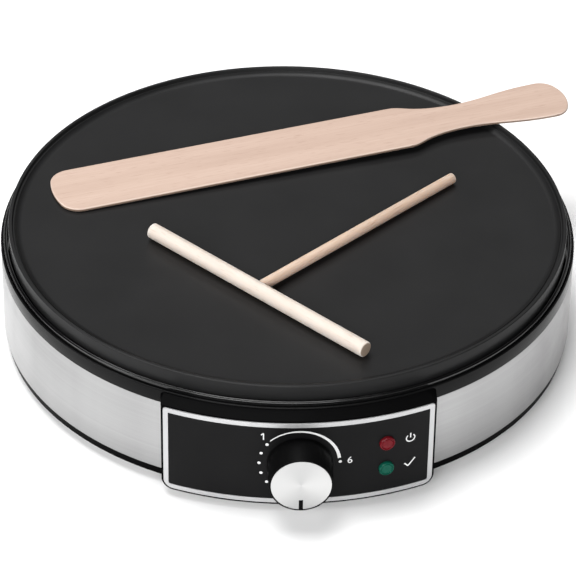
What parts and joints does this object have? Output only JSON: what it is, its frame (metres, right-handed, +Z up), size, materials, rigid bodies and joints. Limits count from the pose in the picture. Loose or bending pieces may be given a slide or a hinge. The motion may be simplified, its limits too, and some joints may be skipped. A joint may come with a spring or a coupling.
{
  "type": "electric crepe maker",
  "caption": "Round countertop electric crepe griddle: rimmed non-stick plate on a steel-banded body, thermostat knob and lamps on a front panel, with a wooden spatula and batter spreader.",
  "frame": {"origin": "on the body's vertical axis, at the surface the feet stand on, which is the centre of the four feet's undersides", "axes": "+Z up, -Y out of the control panel towards the user, +X to the user's right"},
  "size_m": [0.3286, 0.3492, 0.0791],
  "materials": {
    "black_shell": "moulded, fine satin grain",
    "brushed_band": "brushed round the body",
    "ring_black": "moulded, satin",
    "screw_steel": "zinc plated",
    "pan_enamel": "pressed sheet, black enamel",
    "rivet_aluminium": "bare",
    "plate_coated": "cast, dark non-stick coating",
    "heater_tube": "oxidised tube",
    "ceramic": "glazed ceramic insulator",
    "nickel": "nickel plated",
    "spring_steel": "pressed sheet",
    "fascia_black": "semi-gloss printed sheet",
    "trim_silver": "satin silver",
    "print_white": "screen printed",
    "lens_red": "clear red",
    "lens_green": "clear green",
    "socket_plastic": "natural nylon",
    "lamp_glass": "clear",
    "bracket_zinc": "zinc plated sheet",
    "thermostat_case": "moulded phenolic",
    "brass": "turned",
    "knob_black": "satin moulded",
    "cap_aluminium": "spun, bright",
    "rubber_black": "matt",
    "gland_rubber": "satin moulded",
    "block_nylon": "natural nylon",
    "copper": "drawn copper",
    "silicone": "matt silicone",
    "lead_brown": "silicone sleeve",
    "lead_blue": "silicone sleeve",
    "lead_white": "glass-fibre sleeve",
    "lead_earth": "green and yellow sleeve",
    "beech": "planed, unfinished",
    "birch": "turned, unfinished",
    "dowel": "turned dowel, unfinished"
  },
  "bodies": {
    "body": {"base_shell": "black_shell", "steel_band": "brushed_band", "top_ring": "ring_black", "ring_screws": "screw_steel", "reflector_pan": "pan_enamel", "pan_screws": "screw_steel", "cooking_plate": "plate_coated", "plate_spacers": "nickel", "plate_screws": "screw_steel", "heating_element": "heater_tube", "element_insulators": "ceramic", "element_pins": "nickel", "heater_straps": "spring_steel", "strap_screws": "screw_steel", "control_panel": "black_shell", "panel_trim": "trim_silver", "panel_fascia": "fascia_black", "dial_print": "print_white", "panel_screws": "screw_steel", "power_lens": "lens_red", "ready_lens": "lens_green", "lamp_sockets": "socket_plastic", "neon_lamps": "lamp_glass", "thermostat_bracket": "bracket_zinc", "short_screws": "screw_steel", "thermostat_body": "thermostat_case", "thermostat_bush": "brass", "thermostat_nut": "nickel", "feet": "rubber_black", "cord_gland": "gland_rubber", "cord_clamp": "block_nylon", "long_screws": "screw_steel", "terminal_block": "block_nylon", "terminal_screws": "brass", "sensor_bulb": "copper", "bulb_clip": "spring_steel", "clip_screws": "screw_steel", "pan_grommet": "silicone", "sensor_capillary": "copper", "thermal_fuse": "nickel", "fuse_strap": "spring_steel", "fuse_rivets": "rivet_aluminium", "earth_lug": "brass", "earth_nut": "nickel", "pin_connectors": "brass", "live_lead": "lead_brown", "switched_lead": "lead_white", "heater_lead": "lead_white", "neutral_lead": "lead_blue", "power_lamp_lead": "lead_blue", "ready_lamp_lead": "lead_white", "earth_lead": "lead_earth"},
    "control_knob": {"knob": "knob_black", "knob_cap": "cap_aluminium", "knob_pointer": "knob_black", "knob_clip": "spring_steel", "thermostat_shaft": "brass"},
    "wooden_spatula": {"spatula": "beech"},
    "batter_spreader": {"spreader_bar": "birch", "spreader_handle": "dowel"}
  },
  "joints": [
    {"name": "knob_turn", "type": "hinge", "parent": "body", "child": "control_knob", "pos_m": [0, -0.1689, 0.032], "axis": [0, 1, 0], "range_deg": [0, 270]},
    {"name": "spatula_lift", "type": "slide", "parent": "body", "child": "wooden_spatula", "axis": [0, 0, 1], "range_m": [0, 0.1]},
    {"name": "spreader_lift", "type": "slide", "parent": "body", "child": "batter_spreader", "axis": [0, 0, 1], "range_m": [0, 0.1]}
  ]
}
